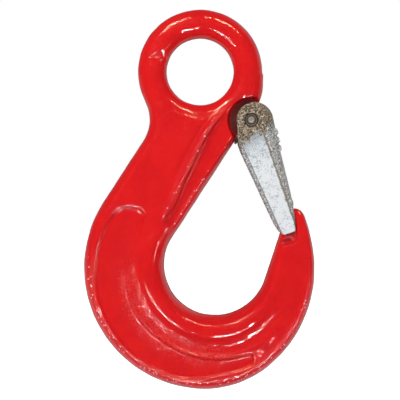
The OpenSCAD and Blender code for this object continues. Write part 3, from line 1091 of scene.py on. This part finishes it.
def galvanised():
    # hot dip zinc: pale mottled face, painted shade on the front edge, the back and its crease,
    # brown at the head, and painted shadow along the nose's end and round the pin
    material, base, spot = startMaterial("galvanised")
    lean = math.radians(latch["lean"])
    offset = spot.awayFrom(latch["pin"])
    down = offset.along((math.sin(lean), 0, -math.cos(lean)))
    out = offset.along((math.cos(lean), 0, math.sin(lean)))
    fine, coarse, grain = (spot.noise(*zinc[name]) for name in ("fine", "coarse", "grain"))
    grit = fine * zinc["gritFine"] + grain * (1 - zinc["gritFine"])
    ofFine, ofCoarse, ofGrain = zinc["specks"]
    specks = fine * ofFine + coarse * ofCoarse + grain * ofGrain
    specks = specks + down.rise(*zinc["speckFall"]) * zinc["moreSpecks"]
    specks = specks.rise(*zinc["speckRise"]) * zinc["speckMost"]
    greyer = (down + coarse.wander(zinc["greyWander"])).rise(*zinc["greyFall"])
    tone = specks.blendColours(greyer.blendColours(zinc["face"], zinc["greyer"]), zinc["speck"])

    # gritty painted shade on the front edge's bevel
    width = zinc["stripWidth"] - down * zinc["stripTaper"]
    stripEdge = out - down * zinc["frontSlope"] + zinc["frontEdge"] - width
    strip = (stripEdge + fine.wander(zinc["stripWander"])).rise(zinc["stripFade"], -zinc["stripFade"])
    stripTone = grit.rise(*zinc["stripRise"]).blendColours(zinc["strip"], zinc["stripPale"])
    tone = strip.blendColours(tone, stripTone)

    # the rounded back's darker mottle is painted shade
    low, high = zinc["spineFrom"] - zinc["spineFade"], zinc["spineFrom"] + zinc["spineFade"]
    spine = (out + fine.wander(zinc["spineWander"])).rise(low, high)
    tone = spine.blendColours(tone, grit.ramp(zinc["spineStops"]))
    # dark line of painted shade where the bevel meets the face
    stripLine = stripEdge.nearZero(*zinc["stripLine"]) * zinc["stripLineMost"]
    tone = stripLine.blendColours(tone, zinc["strip"])
    # painted shade in the crease where the face turns into the back
    crease = out - zinc["spineFrom"] + coarse.wander(zinc["creaseWander"])
    tone = (crease.nearZero(*zinc["creaseLine"]) * zinc["creaseMost"]).blendColours(tone, zinc["crease"])

    coarseSwing, fineSwing = zinc["headWander"]
    head = down + coarse.wander(coarseSwing) + fine.wander(fineSwing) + out * zinc["headLean"]
    tone = head.rise(*zinc["headFall"]).blendColours(tone, grit.ramp(zinc["headStops"]))
    # painted shadow along the nose's end, and in the gap between the pin and the bore
    low, high = zinc["noseLine"] - zinc["noseFade"], zinc["noseLine"] + zinc["noseFade"]
    nose = (down + fine.wander(zinc["noseWander"])).rise(low, high)
    gapShadow = spot.reachFrom(latch["pin"]).rise(*zinc["gapShadowFall"])
    tone = base.maths("MAXIMUM", nose, gapShadow).blendColours(tone, zinc["shadowDark"])
    finishMaterial(
        base,
        {
            "Base Color": tone,
            "Metallic": zinc["metallic"],
            "Roughness": zinc["roughness"] + fine * zinc["roughSwing"],
        },
        [(coarse, zinc["bump"], zinc["coarseHeight"]), (fine, zinc["bump"], zinc["fineHeight"])],
    )
    return material


pinEnd = {
    "grain": (2.2, 3, 0.6),
    "wander": 0.3,
    "perMm": 0.4,  # the ramp's length for each millimetre out from the pin's middle
    # punched middle, painted shade in the groove, a browned ring darkened as painted shade, and painted
    # shadow of the gap at the rim
    "stops": [
        (0.04, (0.10, 0.07, 0.06)),
        (0.14, (0.52, 0.46, 0.44)),
        (0.48, (0.27, 0.23, 0.21)),
        (0.56, (0.04, 0.03, 0.025)),
        (0.64, (0.04, 0.03, 0.025)),
        (0.72, (0.16, 0.125, 0.10)),
        (0.90, (0.13, 0.10, 0.08)),
        (0.96, (0.012, 0.010, 0.009)),
    ],
    "metallic": 0.3,
    "roughness": 0.45,
    "roughSwing": 0.3,
    "bump": 0.4,
    "height": 0.06,
}


def pinSteel():
    material, base, spot = startMaterial("pinSteel")
    fine = spot.noise(*pinEnd["grain"])
    ringed = (spot.reachFrom(latch["pin"]) + fine.wander(pinEnd["wander"])) * pinEnd["perMm"]
    finishMaterial(
        base,
        {
            "Base Color": ringed.ramp(pinEnd["stops"]),
            "Metallic": pinEnd["metallic"],
            "Roughness": pinEnd["roughness"] + fine.wander(pinEnd["roughSwing"]),
        },
        [(fine, pinEnd["bump"], pinEnd["height"])],
    )
    return material


wireSteel = {
    "light": (0.22, 0.20, 0.15, 1),
    "dark": (0.099, 0.09, 0.0675, 1),
    "grain": (2.5, 3, 0.6),
    "lightRise": (0.35, 0.65),
    "metallic": 0.8,
    "roughness": 0.4,
    "roughSwing": 0.3,
    "bump": 0.3,
    "height": 0.05,
}


def springSteel():
    material, base, spot = startMaterial("springSteel")
    fine = spot.noise(*wireSteel["grain"])
    light = fine.rise(*wireSteel["lightRise"])
    finishMaterial(
        base,
        {
            "Base Color": light.blendColours(wireSteel["dark"], wireSteel["light"]),
            "Metallic": wireSteel["metallic"],
            "Roughness": wireSteel["roughness"] + fine.wander(wireSteel["roughSwing"]),
        },
        [(fine, wireSteel["bump"], wireSteel["height"])],
    )
    return material


def dress(piece, material):
    piece.data.materials.clear()
    piece.data.materials.append(material)


dress(hookPiece, redPaint())
dress(latchPiece, galvanised())
dress(pinPiece, pinSteel())
springDress = springSteel()
for half in springHalves:
    dress(half, springDress)
print("materials made")

stage = {
    "drop": 36,
    "floorReach": 4000,
    "floorColour": (0.93, 0.93, 0.93, 1),
    "floorGlow": 0.7,
}


def makeFloor():
    # pale; to the camera it glows enough to run into the white background, and keeps the shadow;
    # the gloss looks past it, to the low strips
    level = cadBox[0].z / mm - stage["drop"]
    reach = stage["floorReach"]
    corners = [(-reach, -reach), (reach, -reach), (reach, reach), (-reach, reach)]
    floor = makeMesh("floor", [(x, y, level) for x, y in corners], [(0, 1, 2, 3)])
    material = bpy.data.materials.new("paleFloor")
    base = emptyTree(material)
    plain = base.node("ShaderNodeBsdfDiffuse", {}, {"Color": stage["floorColour"]})
    seen = base.node("ShaderNodeLightPath", out=0)
    glow = base.node("ShaderNodeEmission", {}, {"Strength": seen * stage["floorGlow"]})
    both = base.node("ShaderNodeAddShader", {}, {0: plain, 1: glow})
    base.node("ShaderNodeOutputMaterial", {}, {"Surface": both})
    dress(floor, material)
    floor.visible_glossy = False


room = {
    # brightness before and behind the object, in plain light and in gloss
    "front": 0.57,
    "behind": 0.5,
    "glossFront": 0.02,
    "glossBehind": 0.55,
    # how far a direction points to the back: where behind begins and is full, and the ring's middle,
    # which is dark
    "behindRise": (-0.2, 0.45),
    "middleFall": (0.98, 0.85),
    # the corner that is dark in gloss
    "darkTowards": (-0.55, 0, 0.83),
    "darkRise": (0.0, 0.7),
    "darkMost": 0.9,
}


def makeWorld():
    # white to the camera; in gloss, a white ring that the object's edges catch, dark up to the left
    world = bpy.data.worlds.new("studio")
    bpy.context.scene.world = world
    base = emptyTree(world)
    direction = base.node("ShaderNodeTexCoord", out=0)  # the line of sight, in a world
    back = direction.along((0, 1, 0))
    behind = back.rise(*room["behindRise"])
    rim = behind * back.rise(*room["middleFall"])
    shade = 1 - direction.along(room["darkTowards"]).rise(*room["darkRise"]) * room["darkMost"]
    seen = base.node("ShaderNodeLightPath", out=0)
    inGloss = base.node("ShaderNodeLightPath", out=3)
    soft = room["front"] + behind * (room["behind"] - room["front"])
    gloss = room["glossFront"] + rim * shade * room["glossBehind"]
    strength = seen + (1 - seen) * (gloss * inGloss + soft * (1 - inGloss))
    light = base.node("ShaderNodeBackground", {}, {"Color": (1, 1, 1, 1), "Strength": strength})
    base.node("ShaderNodeOutputWorld", {}, {"Surface": light})


# name, direction from the object, distance, length, height, roll, power, colour, lights the gloss alone
lamps = [
    ("softTop", (-0.35, -0.8, 0.5), 0.9, 0.7, 0.5, 0, 4.1, (1, 0.99, 0.97), False),
    ("softRight", (0.6, -0.75, -0.45), 0.9, 0.5, 0.7, 0, 3.2, (0.97, 0.99, 1), False),
    ("warmLeftStrip", (-0.35, -0.57, 0.74), 0.8, 0.28, 0.018, 25, 2.6, (1, 0.78, 0.5), True),
    ("warmRightStrip", (0.31, -0.57, 0.76), 0.8, 0.3, 0.018, -22, 2.8, (1, 0.78, 0.5), True),
    ("lowLeftStrip", (-0.34, -0.85, -0.41), 0.8, 0.2, 0.035, -40, 6, (1, 1, 1), True),
    ("lowRightStrip", (0.16, -0.85, -0.5), 0.8, 0.2, 0.035, 17, 6, (1, 1, 1), True),
    ("rightStrip", (0.79, -0.56, -0.25), 0.8, 0.02, 0.2, 0, 0.9, (1, 0.9, 0.75), True),
    ("leftStrip", (-0.6, -0.73, -0.33), 0.8, 0.015, 0.2, 25, 0.8, (1, 0.8, 0.55), True),
]


def makeLamps():
    middle = (cadBox[0] + cadBox[1]) / 2
    for name, direction, distance, length, height, roll, power, colour, glint in lamps:
        data = bpy.data.lights.new(name, "AREA")
        data.shape, data.size, data.size_y = "RECTANGLE", length, height
        data.energy, data.color = power, colour
        lamp = bpy.data.objects.new(name, data)
        bpy.context.scene.collection.objects.link(lamp)
        towards = Vector(direction).normalized()
        lamp.location = middle + towards * distance
        facing = towards.to_track_quat("Z", "Y") @ Quaternion((0, 0, 1), math.radians(roll))
        lamp.rotation_euler = facing.to_euler()
        lamp.visible_glossy, lamp.visible_diffuse = glint, not glint


makeFloor()
makeWorld()
makeLamps()
bpy.context.scene.view_settings.view_transform = "Standard"
print("stage made")


def toImage(points):
    # metres to the photograph's pixels
    size = camera["frame"]
    inverse = photoCamera.matrix_basis.inverted()
    flat = []
    for point in points:
        x, y, z = inverse @ Vector(point)
        across = size / 2 + x / -z * size * camera["lens"] / camera["sensor"]
        down = size / 2 - y / -z * size * camera["lens"] / camera["sensor"]
        flat.append((across, down))
    return np.array(flat)


def comparePoints():
    # how far each thing shows from its image point
    hookFlat = toImage([v.co for v in hookPiece.data.vertices])
    for name, inside in dentInside.items():
        pressed, drawn = hookFlat[inside], np.array(imagePoints[name])
        middles = [(spots.min(0) + spots.max(0)) / 2 for spots in (pressed, drawn)]
        [float(v) for v in middles[0] - middles[1]]


comparePoints()
